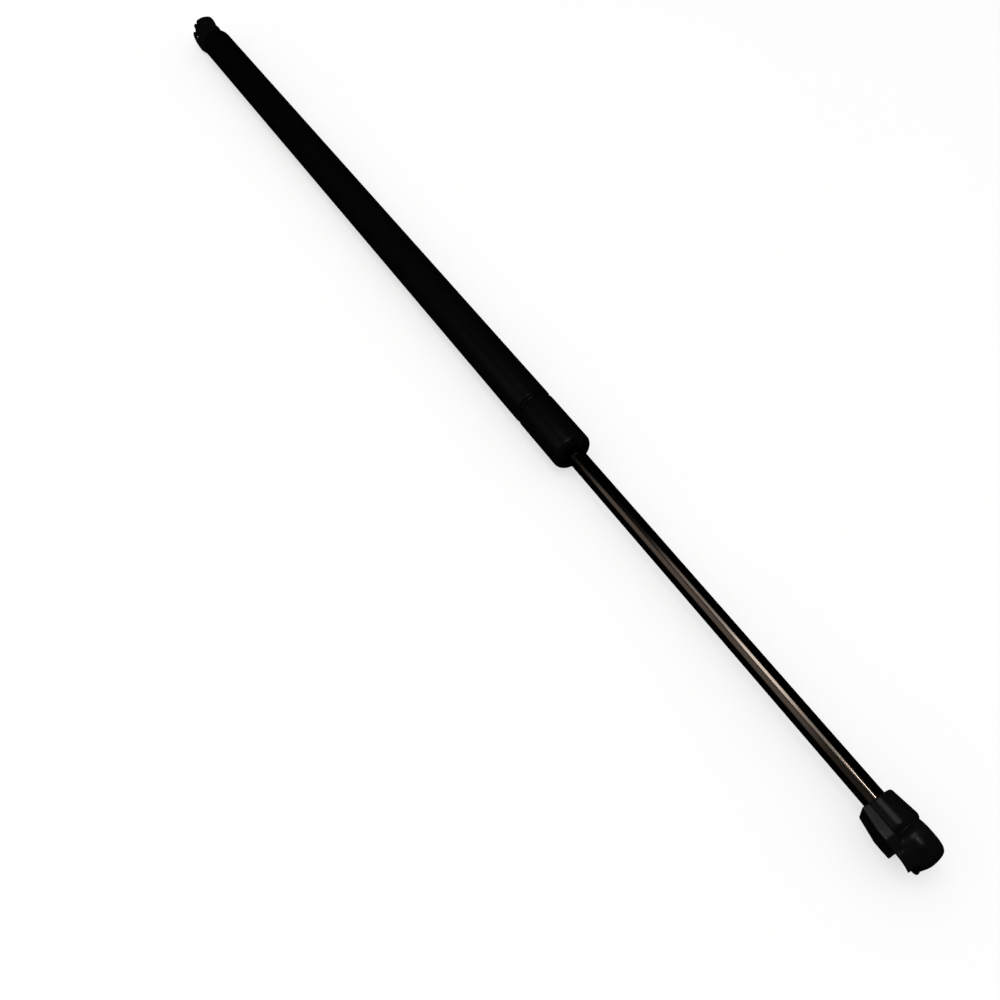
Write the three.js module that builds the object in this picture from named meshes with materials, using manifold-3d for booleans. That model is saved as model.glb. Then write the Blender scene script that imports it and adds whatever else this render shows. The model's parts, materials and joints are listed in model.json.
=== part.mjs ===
// A gas strut stay: a sealed pressure tube, a sliding rod with its piston, and a ball socket at each end.
// Millimetres. The origin is the centre of the ball that the cylinder-side socket holds. +X runs along the
// strut towards the rod's end, the cylinder-side mouth faces -Y, and +Z is up.
import * as THREE from "three";
import { mergeVertices } from "three/addons/utils/BufferGeometryUtils.js";
import Module from "manifold-3d";

const wasm = await Module();
wasm.setup();

// Driving dimensions of the strut.
const BALL_SPACING = 621;
const TUBE_DIAMETER = 18;
const TUBE_WALL = 1.25;
const TUBE_LENGTH = 412;
const ROD_DIAMETER = 8;
const BALL_DIAMETER = 10;
const GROOVE_FROM_RIM = 31;
const GROOVE_DEPTH = 1;
const GROOVE_HALF_WIDTH = 1.9;
const RIM_RADIUS = 2.6;
const RIM_HOLE_RADIUS = 5.9;
const SHOULDER_RADIUS = 3.6;
const SHOULDER_HOLE_RADIUS = 5.2;

// The rod is free to turn in the tube; at rest its socket is turned this far about the strut's axis.
const ROD_TURN_DEGREES = 15;

// Driving dimensions of a ball socket, measured from the ball's centre.
const HEAD_RADIUS = 7.95;
const HEAD_BACK = 5.95;
const HEAD_SQUARENESS = 0.12;
const HEAD_MOUTH = 7.8;
const LIP_RADIUS = 6.6;
const SOCKET_REAR = 16.5;
const NECK_REAR_RADIUS = 6.4;
const NECK_FRONT_RADIUS = 7.6;
const NECK_FRONT = 6.4;
const THREAD_DEPTH = 9.3;
const CLIP_WIRE_RADIUS = 0.75;
const CLIP_HALF_SPAN = 3.4;
const CLIP_LEVEL = -4.7;
const CLIP_BOW = -6.6;
const CLIP_TIP = 3.4;

// Fits.
const REST_GAP = 0.3;
const RUNNING_GAP = 0.06;
const LOOSE_GAP = 0.1;
const FINE_SEGMENTS = 40;
const SMALL_SEGMENTS = 28;

// Stations and radii that follow from them.
const TUBE_RADIUS = TUBE_DIAMETER / 2;
const BORE_RADIUS = TUBE_RADIUS - TUBE_WALL;
const ROD_RADIUS = ROD_DIAMETER / 2;
const PACK_RADIUS = BORE_RADIUS - 0.15;
const TUBE_START = SOCKET_REAR + REST_GAP;
const TUBE_END = TUBE_START + TUBE_LENGTH;
const GROOVE_CENTRE = TUBE_END - GROOVE_FROM_RIM;
const ROD_SOCKET_REAR = BALL_SPACING - SOCKET_REAR;

function solid(geometry) {
  const bare = geometry.index ? geometry.toNonIndexed() : geometry.clone();
  bare.deleteAttribute("normal");
  bare.deleteAttribute("uv");
  const merged = mergeVertices(bare, 1e-4);
  return new wasm.Manifold(
    new wasm.Mesh({
      numProp: 3,
      vertProperties: merged.attributes.position.array,
      triVerts: new Uint32Array(merged.index.array),
    }),
  );
}

function geometryOf(manifold) {
  const mesh = manifold.getMesh();
  const geometry = new THREE.BufferGeometry();
  geometry.setAttribute("position", new THREE.BufferAttribute(mesh.vertProperties, 3));
  geometry.setIndex(new THREE.BufferAttribute(mesh.triVerts, 1));
  geometry.computeVertexNormals();
  return geometry;
}

// Turns a profile of [x, radius] points about the strut's axis.
function turned(profile, segments) {
  const points = profile.map(([x, radius]) => new THREE.Vector2(radius, x));
  return new THREE.LatheGeometry(points, segments).rotateZ(-Math.PI / 2);
}

// Turns the closed section of a ring, given as its corners in order.
function turnedRing(corners, segments) {
  return turned([...corners, corners[0]], segments);
}

// A plain ring between two stations.
function washer(start, end, inner, outer, segments) {
  const corners = [[start, inner], [start, outer], [end, outer], [end, inner]];
  return turnedRing(corners, segments);
}

// Points along an arc in the profile's plane, angles in degrees from +X towards the radius.
function arc(x, radius, size, from, to, steps) {
  const points = [];
  for (let i = 0; i <= steps; i += 1) {
    const angle = THREE.MathUtils.degToRad(from + ((to - from) * i) / steps);
    points.push([x + size * Math.cos(angle), radius + size * Math.sin(angle)]);
  }
  return points;
}

function box(low, high) {
  const size = high.map((value, i) => value - low[i]);
  const middle = high.map((value, i) => (value + low[i]) / 2);
  return new THREE.BoxGeometry(...size).translate(...middle);
}

// The rolled groove: a smooth dip of the wall, the same outside and inside.
function groove(wallRadius, steps) {
  const points = [];
  for (let i = 0; i <= steps; i += 1) {
    const along = -1 + (2 * i) / steps;
    const dip = (GROOVE_DEPTH * (1 + Math.cos(Math.PI * along))) / 2;
    points.push([GROOVE_CENTRE + along * GROOVE_HALF_WIDTH, wallRadius - dip]);
  }
  return points;
}

// Pressure tube: one wall from the rounded shoulder at the closed end to the rim rolled in at the rod's end.
function cylinderTube() {
  const shoulderX = TUBE_START + SHOULDER_RADIUS;
  const shoulderCentre = TUBE_RADIUS - SHOULDER_RADIUS;
  const rimX = TUBE_END - RIM_RADIUS;
  const rimCentre = TUBE_RADIUS - RIM_RADIUS;
  const outside = [
    [TUBE_START, SHOULDER_HOLE_RADIUS],
    ...arc(shoulderX, shoulderCentre, SHOULDER_RADIUS, 180, 90, 5),
    ...groove(TUBE_RADIUS, 8),
    ...arc(rimX, rimCentre, RIM_RADIUS, 90, 0, 5),
    [TUBE_END, RIM_HOLE_RADIUS],
  ];
  const inside = [
    [TUBE_START + TUBE_WALL, SHOULDER_HOLE_RADIUS],
    ...arc(shoulderX, shoulderCentre, SHOULDER_RADIUS - TUBE_WALL, 180, 90, 3),
    ...groove(BORE_RADIUS, 8),
    ...arc(rimX, rimCentre, RIM_RADIUS - TUBE_WALL, 90, 0, 3),
    [TUBE_END - TUBE_WALL, RIM_HOLE_RADIUS],
  ];
  return turnedRing([...outside, ...inside.reverse()], FINE_SEGMENTS);
}

// Plug that closes the tube: a boss through the shoulder's hole, and a groove for its O-ring.
const PLUG = { face: TUBE_START + TUBE_WALL + REST_GAP, length: 9, boss: 5, chamfer: 2, grooveDepth: 1.6 };
const O_RING = { wire: 0.8, centre: PLUG.face + 5.5, radius: BORE_RADIUS - 0.85, grooveHalf: 1.1 };

function endPlug() {
  const bore = ROD_RADIUS + LOOSE_GAP;
  const back = PLUG.face + PLUG.length;
  const grooveFloor = PACK_RADIUS - PLUG.grooveDepth;
  return turnedRing([
    [TUBE_START + REST_GAP, bore],
    [TUBE_START + REST_GAP, PLUG.boss],
    [PLUG.face, PLUG.boss],
    [PLUG.face, PACK_RADIUS - PLUG.chamfer],
    [PLUG.face + PLUG.chamfer, PACK_RADIUS],
    [O_RING.centre - O_RING.grooveHalf, PACK_RADIUS],
    [O_RING.centre - O_RING.grooveHalf, grooveFloor],
    [O_RING.centre + O_RING.grooveHalf, grooveFloor],
    [O_RING.centre + O_RING.grooveHalf, PACK_RADIUS],
    [back, PACK_RADIUS],
    [back, bore],
  ], FINE_SEGMENTS);
}

function endPlugORing() {
  const section = arc(O_RING.centre, O_RING.radius, O_RING.wire, 180, -180, 8);
  return turned(section, FINE_SEGMENTS);
}

// Threaded stud that carries the cylinder-side socket; its thread is drawn as a plain shank.
function mountingStud() {
  const tip = SOCKET_REAR - THREAD_DEPTH + REST_GAP;
  const head = PLUG.face + PLUG.length - 0.5;
  const chamfer = 0.6;
  return turned([
    [tip, 0],
    [tip, ROD_RADIUS - chamfer],
    [tip + chamfer, ROD_RADIUS],
    [head, ROD_RADIUS],
    [head, 0],
  ], SMALL_SEGMENTS);
}

// The sealing pack behind the rolled rim, from the outside inwards. Each depth is from the tube's end face.
const PACK = {
  ringFront: TUBE_WALL + REST_GAP,
  ringBack: 4.6,
  ringHole: 4.5,
  wiperSeat: 6.2,
  wiperFront: 3,
  guideFront: 4.9,
  guideBack: 13.9,
  sealFront: 14.2,
  sealBack: 20.2,
  washerFront: 20.5,
  washerBack: 22,
  sleeveFront: 22.3,
  sleeveBack: 28.8,
};

function closingRing() {
  const chamfer = 1.7;
  const seatDepth = TUBE_END - PACK.wiperFront + 0.2;
  return turnedRing([
    [TUBE_END - PACK.ringBack, PACK.wiperSeat],
    [TUBE_END - PACK.ringBack, PACK_RADIUS],
    [TUBE_END - PACK.ringFront - chamfer, PACK_RADIUS],
    [TUBE_END - PACK.ringFront, PACK_RADIUS - chamfer],
    [TUBE_END - PACK.ringFront, PACK.ringHole],
    [seatDepth, PACK.ringHole],
    [seatDepth, PACK.wiperSeat],
  ], SMALL_SEGMENTS);
}

function rodWiper() {
  const bore = ROD_RADIUS + RUNNING_GAP;
  const outer = PACK.wiperSeat - 0.2;
  const lipOuter = PACK.ringHole - 0.15;
  const lipFront = TUBE_END - PACK.ringFront - 0.3;
  return turnedRing([
    [TUBE_END - PACK.ringBack, bore],
    [TUBE_END - PACK.ringBack, outer],
    [TUBE_END - PACK.wiperFront, outer],
    [TUBE_END - PACK.wiperFront, lipOuter],
    [lipFront, lipOuter],
    [lipFront, bore],
  ], FINE_SEGMENTS);
}

function rodGuide() {
  const chamfer = 0.5;
  const bore = ROD_RADIUS + RUNNING_GAP;
  return turnedRing([
    [TUBE_END - PACK.guideBack, bore],
    [TUBE_END - PACK.guideBack, PACK_RADIUS - chamfer],
    [TUBE_END - PACK.guideBack + chamfer, PACK_RADIUS],
    [TUBE_END - PACK.guideFront - chamfer, PACK_RADIUS],
    [TUBE_END - PACK.guideFront, PACK_RADIUS - chamfer],
    [TUBE_END - PACK.guideFront, bore],
  ], FINE_SEGMENTS);
}

// Rod seal: a rubber cup whose open side faces the gas, so that the pressure spreads its two lips.
function rodSeal() {
  const bore = ROD_RADIUS + RUNNING_GAP;
  const lip = 1.1;
  const heel = TUBE_END - PACK.sealFront - 2.4;
  const tip = TUBE_END - PACK.sealBack;
  return turnedRing([
    [tip, bore],
    [tip, bore + lip],
    [heel, bore + lip + 0.3],
    [heel, PACK_RADIUS - lip - 0.3],
    [tip, PACK_RADIUS - lip],
    [tip, PACK_RADIUS],
    [TUBE_END - PACK.sealFront, PACK_RADIUS],
    [TUBE_END - PACK.sealFront, bore],
  ], FINE_SEGMENTS);
}

function sealWasher() {
  const back = TUBE_END - PACK.washerBack;
  const front = TUBE_END - PACK.washerFront;
  return washer(back, front, ROD_RADIUS + REST_GAP, PACK_RADIUS, SMALL_SEGMENTS);
}

// Spacer sleeve: keeps the pack off the groove, with an inward flange under the washer.
function spacerSleeve() {
  const flange = 1.2;
  const wall = 1.6;
  const back = TUBE_END - PACK.sleeveBack;
  const front = TUBE_END - PACK.sleeveFront;
  return turnedRing([
    [back, PACK_RADIUS - wall],
    [back, PACK_RADIUS],
    [front, PACK_RADIUS],
    [front, ROD_RADIUS + 0.6],
    [front - flange, ROD_RADIUS + 0.6],
    [front - flange, PACK_RADIUS - wall],
  ], SMALL_SEGMENTS);
}

// The piston's stack on the rod's spigot. Each depth is from the tube's end face, at full extension.
const SPIGOT_RADIUS = 2.7;
const STACK = {
  rodShoulder: 32.9,
  frontWasher: [33.2, 35],
  valveDisc: [35.3, 35.7],
  piston: [36, 44],
  ring: [39.1, 40.9],
  rearWasher: [44.3, 46.1],
  nut: [46.4, 51.4],
  spigotEnd: 52.4,
};
const RING_INNER_RADIUS = 6.3;
const PISTON_RADIUS = 7.5;

function stackWasher([front, back], outer) {
  const bore = SPIGOT_RADIUS + LOOSE_GAP;
  return washer(TUBE_END - back, TUBE_END - front, bore, outer, SMALL_SEGMENTS);
}

// Rod: polished over its whole length, turned down at one end for the piston.
function pistonRod() {
  const chamfer = 0.5;
  const shoulder = TUBE_END - STACK.rodShoulder;
  const spigot = TUBE_END - STACK.spigotEnd;
  const tip = ROD_SOCKET_REAR + THREAD_DEPTH - REST_GAP;
  return turned([
    [spigot, 0],
    [spigot, SPIGOT_RADIUS - chamfer],
    [spigot + chamfer, SPIGOT_RADIUS],
    [shoulder, SPIGOT_RADIUS],
    [shoulder, ROD_RADIUS],
    [tip - chamfer, ROD_RADIUS],
    [tip, ROD_RADIUS - chamfer],
    [tip, 0],
  ], FINE_SEGMENTS);
}

// Piston: a groove for its ring, and three bleed holes that meter the gas.
function piston() {
  const [front, back] = STACK.piston;
  const bore = SPIGOT_RADIUS + LOOSE_GAP;
  const floor = RING_INNER_RADIUS - LOOSE_GAP;
  const side = 0.2;
  const start = TUBE_END - back;
  const end = TUBE_END - front;
  const body = turnedRing([
    [start, bore],
    [start, PISTON_RADIUS],
    [TUBE_END - STACK.ring[1] - side, PISTON_RADIUS],
    [TUBE_END - STACK.ring[1] - side, floor],
    [TUBE_END - STACK.ring[0] + side, floor],
    [TUBE_END - STACK.ring[0] + side, PISTON_RADIUS],
    [end, PISTON_RADIUS],
    [end, bore],
  ], FINE_SEGMENTS);
  const bleedRadius = 0.4;
  const bleedCircle = 4.6;
  let result = solid(body);
  for (let i = 0; i < 3; i += 1) {
    const angle = (i * 2 * Math.PI) / 3;
    const hole = new THREE.CylinderGeometry(bleedRadius, bleedRadius, end - start + 2, 8);
    hole.rotateZ(-Math.PI / 2);
    hole.translate((start + end) / 2, bleedCircle * Math.cos(angle), bleedCircle * Math.sin(angle));
    result = result.subtract(solid(hole));
  }
  return geometryOf(result);
}

function pistonRing() {
  const [front, back] = STACK.ring;
  return washer(TUBE_END - back, TUBE_END - front, RING_INNER_RADIUS, BORE_RADIUS - 0.07, FINE_SEGMENTS);
}

function pistonNut() {
  const acrossFlats = 9;
  const corner = acrossFlats / Math.sqrt(3);
  const outline = new THREE.Shape();
  for (let i = 0; i < 6; i += 1) {
    const angle = (i * Math.PI) / 3;
    const point = [corner * Math.cos(angle), corner * Math.sin(angle)];
    if (i === 0) outline.moveTo(...point);
    else outline.lineTo(...point);
  }
  outline.closePath();
  const hole = new THREE.Path();
  hole.absarc(0, 0, SPIGOT_RADIUS + LOOSE_GAP, 0, 2 * Math.PI, true);
  outline.holes.push(hole);
  const [front, back] = STACK.nut;
  const nut = new THREE.ExtrudeGeometry(outline, { depth: back - front, bevelEnabled: false, curveSegments: 12 });
  return nut.rotateY(Math.PI / 2).translate(TUBE_END - back, 0, 0);
}

// Ball socket, drawn about the ball's centre with its neck along +X and its mouth at -Y.

// The head: a barrel that is widest round the ball's middle, with the corners of its outer half filled out.
function socketHead() {
  const shoulder = 5.8;
  const flank = new THREE.SplineCurve([
    new THREE.Vector2(HEAD_RADIUS - 1.95, -shoulder),
    new THREE.Vector2(HEAD_RADIUS - 1.1, -4.2),
    new THREE.Vector2(HEAD_RADIUS - 0.45, -2.2),
    new THREE.Vector2(HEAD_RADIUS, 0),
    new THREE.Vector2(HEAD_RADIUS - 0.05, 2.2),
    new THREE.Vector2(HEAD_RADIUS - 0.45, 4.5),
    new THREE.Vector2(HEAD_RADIUS - 1.2, 5.6),
    new THREE.Vector2(HEAD_RADIUS - 2.2, HEAD_BACK),
  ]);
  const profile = [new THREE.Vector2(0, -shoulder), ...flank.getPoints(14), new THREE.Vector2(0, HEAD_BACK)];
  const head = new THREE.LatheGeometry(profile, FINE_SEGMENTS);
  const position = head.attributes.position;
  for (let i = 0; i < position.count; i += 1) {
    const x = position.getX(i);
    const z = position.getZ(i);
    const corner = x < 0 ? Math.sin(2 * Math.atan2(z, x)) ** 2 : 0;
    const stretch = 1 + HEAD_SQUARENESS * corner;
    position.setX(i, x * stretch);
    position.setZ(i, z * stretch);
  }
  return head;
}

// The neck's boss widens towards the head and is rounded off inside it.
function socketNeck() {
  const round = 2.4;
  return turned([
    [NECK_FRONT - round - 1, 0],
    [NECK_FRONT - round - 1, NECK_FRONT_RADIUS - round],
    ...arc(NECK_FRONT, NECK_FRONT_RADIUS - round, round, 170, 90, 4),
    [SOCKET_REAR, NECK_REAR_RADIUS],
    [SOCKET_REAR, 0],
  ], FINE_SEGMENTS);
}

// The sole: a plate in the plane of the mouth. It is a lip round the mouth, cut straight at its outer end,
// and runs on under the neck as a ramp that grows narrower and shallower towards the rear.
const SOLE = { outerEnd: -5.6, front: 5, level: 8, top: 3.5, halfWidth: 7.4, rearHalfWidth: 6.7, rearDepth: 6.4 };

function socketLip() {
  const lipStart = Math.acos(SOLE.outerEnd / LIP_RADIUS);
  const outline = new THREE.Shape();
  outline.absarc(0, 0, LIP_RADIUS, lipStart, Math.PI / 2, true);
  outline.lineTo(SOLE.front, SOLE.halfWidth);
  outline.lineTo(SOLE.level, SOLE.halfWidth);
  outline.lineTo(SOLE.level, -SOLE.halfWidth);
  outline.lineTo(SOLE.front, -SOLE.halfWidth);
  outline.absarc(0, 0, LIP_RADIUS, -Math.PI / 2, -lipStart, true);
  const depth = HEAD_MOUTH - SOLE.top;
  const plate = new THREE.ExtrudeGeometry(outline, { depth, bevelEnabled: false, curveSegments: 8 });
  return plate.rotateX(Math.PI / 2).translate(0, -SOLE.top, 0);
}

function socketRamp() {
  const ramp = box([SOLE.level, -1, -1], [SOCKET_REAR, 0, 1]);
  const position = ramp.attributes.position;
  for (let i = 0; i < position.count; i += 1) {
    const atRear = position.getX(i) > SOLE.level + 1;
    const depth = atRear ? SOLE.rearDepth : HEAD_MOUTH;
    position.setY(i, position.getY(i) < -0.5 ? -depth : -SOLE.top);
    position.setZ(i, position.getZ(i) * (atRear ? SOLE.rearHalfWidth : SOLE.halfWidth));
  }
  return ramp;
}

// The seat for the ball: a half sphere, a straight throat and a flared mouth.
function ballSeat() {
  const seat = BALL_DIAMETER / 2 + 0.05;
  const throat = seat + 0.05;
  const flare = 5.7;
  const flat = 20;
  const profile = [
    new THREE.Vector2(0, -HEAD_MOUTH - 1),
    new THREE.Vector2(flare, -HEAD_MOUTH - 1),
    new THREE.Vector2(flare, -HEAD_MOUTH),
    new THREE.Vector2(throat, -HEAD_MOUTH + 1.6),
    new THREE.Vector2(throat, 0),
  ];
  for (const [radius, y] of arc(0, 0, seat, flat / 2, 90 - flat / 2, 5)) {
    profile.push(new THREE.Vector2(radius, y));
  }
  profile.push(new THREE.Vector2(0, seat));
  return new THREE.LatheGeometry(profile, SMALL_SEGMENTS);
}

// Slots for the clip's legs, the slit at the outer end that it slides in through, and the notch that leaves
// the lip open on one side, where the clip's bow can be prised out.
function clipSlots() {
  const room = CLIP_WIRE_RADIUS + 0.2;
  const outside = -HEAD_RADIUS - 2;
  const slots = [-CLIP_HALF_SPAN, CLIP_HALF_SPAN].map((z) =>
    box([outside, CLIP_LEVEL - room, z - room], [CLIP_TIP + 0.4, CLIP_LEVEL + room, z + room]),
  );
  const side = CLIP_HALF_SPAN + room;
  const slit = box([outside, CLIP_LEVEL - room, -side], [CLIP_BOW + room, CLIP_LEVEL + room, side]);
  const notchSide = -0.7;
  const notchEnd = 1.5;
  const notch = box(
    [outside, -HEAD_MOUTH - 1, notchSide],
    [notchEnd, CLIP_LEVEL + room, HEAD_RADIUS + 1],
  );
  return [...slots, slit, notch];
}

function socketBore() {
  const start = SOCKET_REAR - THREAD_DEPTH;
  const radius = ROD_RADIUS + LOOSE_GAP;
  return turned([[start, 0], [start, radius], [SOCKET_REAR + 1, radius], [SOCKET_REAR + 1, 0]], SMALL_SEGMENTS);
}

function ballSocket() {
  let body = solid(socketHead());
  for (const part of [socketNeck(), socketLip(), socketRamp()]) {
    body = body.add(solid(part));
  }
  for (const cut of [ballSeat(), socketBore(), ...clipSlots()]) {
    body = body.subtract(solid(cut));
  }
  return geometryOf(body);
}

// Retaining clip: one bent wire with two legs that hold the ball below its middle.
function socketClip() {
  const corner = 1.6;
  const level = CLIP_LEVEL;
  const at = (x, z) => new THREE.Vector3(x, level, z);
  const path = new THREE.CurvePath();
  path.add(new THREE.LineCurve3(at(CLIP_TIP, -CLIP_HALF_SPAN), at(CLIP_BOW + corner, -CLIP_HALF_SPAN)));
  path.add(new THREE.QuadraticBezierCurve3(
    at(CLIP_BOW + corner, -CLIP_HALF_SPAN),
    at(CLIP_BOW, -CLIP_HALF_SPAN),
    at(CLIP_BOW, corner - CLIP_HALF_SPAN),
  ));
  path.add(new THREE.LineCurve3(at(CLIP_BOW, corner - CLIP_HALF_SPAN), at(CLIP_BOW, CLIP_HALF_SPAN - corner)));
  path.add(new THREE.QuadraticBezierCurve3(
    at(CLIP_BOW, CLIP_HALF_SPAN - corner),
    at(CLIP_BOW, CLIP_HALF_SPAN),
    at(CLIP_BOW + corner, CLIP_HALF_SPAN),
  ));
  path.add(new THREE.LineCurve3(at(CLIP_BOW + corner, CLIP_HALF_SPAN), at(CLIP_TIP, CLIP_HALF_SPAN)));
  const section = new THREE.Shape();
  section.absarc(0, 0, CLIP_WIRE_RADIUS, 0, 2 * Math.PI);
  return new THREE.ExtrudeGeometry(section, { steps: 30, curveSegments: 6, extrudePath: path });
}

const FINISHES = {
  blackPaint: { color: 0x0b0b0c, roughness: 0.25, metalness: 0 },
  nitridedSteel: { color: 0x1b1a1a, roughness: 0.15, metalness: 1 },
  blackNylon: { color: 0x121213, roughness: 0.45, metalness: 0 },
  springSteel: { color: 0x8f8f8c, roughness: 0.3, metalness: 1 },
  zincedSteel: { color: 0xb4b6b8, roughness: 0.35, metalness: 1 },
  plainSteel: { color: 0x8a8c90, roughness: 0.4, metalness: 1 },
  blackRubber: { color: 0x151515, roughness: 0.7, metalness: 0 },
  bronze: { color: 0xa87b45, roughness: 0.4, metalness: 1 },
  whiteNylon: { color: 0xd8d4c6, roughness: 0.5, metalness: 0 },
  sinteredSteel: { color: 0x5c5b58, roughness: 0.55, metalness: 1 },
};

function piece(name, geometry, finish) {
  const mesh = new THREE.Mesh(geometry, new THREE.MeshStandardMaterial(FINISHES[finish]));
  mesh.name = name;
  return mesh;
}

// A socket with its clip. The rod-side one is turned half round about Y, and then by the rod's turn.
function socketGroup(socketName, clipName) {
  const group = new THREE.Group();
  group.add(piece(socketName, ballSocket(), "blackNylon"));
  group.add(piece(clipName, socketClip(), "springSteel"));
  return group;
}

const cylinderEnd = socketGroup("cylinder_socket", "cylinder_socket_clip");
const rodEnd = socketGroup("rod_socket", "rod_socket_clip");
rodEnd.position.x = BALL_SPACING;
rodEnd.rotation.set(THREE.MathUtils.degToRad(ROD_TURN_DEGREES), Math.PI, 0);

const cylinder = new THREE.Group();
cylinder.add(
  piece("cylinder_tube", cylinderTube(), "blackPaint"),
  piece("end_plug", endPlug(), "zincedSteel"),
  piece("end_plug_o_ring", endPlugORing(), "blackRubber"),
  piece("mounting_stud", mountingStud(), "zincedSteel"),
  piece("closing_ring", closingRing(), "plainSteel"),
  piece("rod_wiper", rodWiper(), "blackRubber"),
  piece("rod_guide", rodGuide(), "bronze"),
  piece("rod_seal", rodSeal(), "blackRubber"),
  piece("seal_washer", sealWasher(), "zincedSteel"),
  piece("spacer_sleeve", spacerSleeve(), "whiteNylon"),
);

const rod = new THREE.Group();
rod.add(
  piece("piston_rod", pistonRod(), "nitridedSteel"),
  piece("piston_front_washer", stackWasher(STACK.frontWasher, 7.2), "zincedSteel"),
  piece("piston_valve_disc", stackWasher(STACK.valveDisc, 6.2), "springSteel"),
  piece("piston", piston(), "sinteredSteel"),
  piece("piston_ring", pistonRing(), "whiteNylon"),
  piece("piston_rear_washer", stackWasher(STACK.rearWasher, 6.8), "zincedSteel"),
  piece("piston_nut", pistonNut(), "zincedSteel"),
);

const group = new THREE.Group();
group.add(cylinderEnd, cylinder, rod, rodEnd);

export default group;
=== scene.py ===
import json
import math

import bmesh
import bpy
from mathutils import Matrix, Vector


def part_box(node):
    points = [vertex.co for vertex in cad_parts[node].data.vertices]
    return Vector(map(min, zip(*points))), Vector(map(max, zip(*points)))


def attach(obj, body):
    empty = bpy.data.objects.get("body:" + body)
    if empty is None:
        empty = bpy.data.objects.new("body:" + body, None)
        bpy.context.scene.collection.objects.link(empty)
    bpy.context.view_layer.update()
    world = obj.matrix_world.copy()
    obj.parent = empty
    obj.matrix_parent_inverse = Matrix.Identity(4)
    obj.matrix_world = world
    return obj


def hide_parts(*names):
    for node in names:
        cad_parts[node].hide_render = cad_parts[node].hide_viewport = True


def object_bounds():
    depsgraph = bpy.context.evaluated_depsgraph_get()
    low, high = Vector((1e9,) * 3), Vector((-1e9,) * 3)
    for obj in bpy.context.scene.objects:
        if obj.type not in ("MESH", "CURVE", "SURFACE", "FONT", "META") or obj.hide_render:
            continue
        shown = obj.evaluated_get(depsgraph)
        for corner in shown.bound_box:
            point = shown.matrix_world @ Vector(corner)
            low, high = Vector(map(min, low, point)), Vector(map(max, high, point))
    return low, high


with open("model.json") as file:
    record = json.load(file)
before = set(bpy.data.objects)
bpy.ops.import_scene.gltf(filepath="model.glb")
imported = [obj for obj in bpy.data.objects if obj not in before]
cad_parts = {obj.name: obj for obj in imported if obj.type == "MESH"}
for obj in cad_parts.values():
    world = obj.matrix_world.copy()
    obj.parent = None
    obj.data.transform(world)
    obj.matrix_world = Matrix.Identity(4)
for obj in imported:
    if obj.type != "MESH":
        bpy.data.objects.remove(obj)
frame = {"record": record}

cad_box = [list(corner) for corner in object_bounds()]

# ---------------------------------------------------------------------------------------------------------
# Pressure tube
# Cold-drawn steel tube. Its closed end is spun to a rounded shoulder, a groove is rolled into the wall behind
# the seal pack, and the rim is rolled in over the closing ring. Stoved black paint outside.

MM = 0.001


def place(node):
    """Start, end and radius of a CAD piece that lies along the strut's axis, in millimetres."""
    low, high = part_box(node)
    return low.x / MM, high.x / MM, high.z / MM


def arc(x, radius, size, start, end, steps=10):
    """Points on an arc of an outline; angles in degrees from +X towards the radius."""
    turns = [math.radians(start + (end - start) * i / steps) for i in range(steps + 1)]
    return [(x + size * math.cos(turn), radius + size * math.sin(turn)) for turn in turns]


def add(tree, kind, links=None, **settings):
    """Adds one node: its settings, then what goes into each input, a socket or a plain value."""
    node = tree.nodes.new(kind)
    for setting, value in settings.items():
        setattr(node, setting, value)
    for key, value in (links or {}).items():
        if isinstance(value, bpy.types.NodeSocket):
            tree.links.new(value, node.inputs[key])
        else:
            node.inputs[key].default_value = value
    return node


def new_tree(name, inputs):
    """An empty Geometry Nodes tree with named inputs, and one geometry output."""
    tree = bpy.data.node_groups.new(name, "GeometryNodeTree")
    for label, kind in inputs.items():
        tree.interface.new_socket(label, in_out="INPUT", socket_type=kind)
    tree.interface.new_socket("Piece", in_out="OUTPUT", socket_type="NodeSocketGeometry")
    return tree


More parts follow.
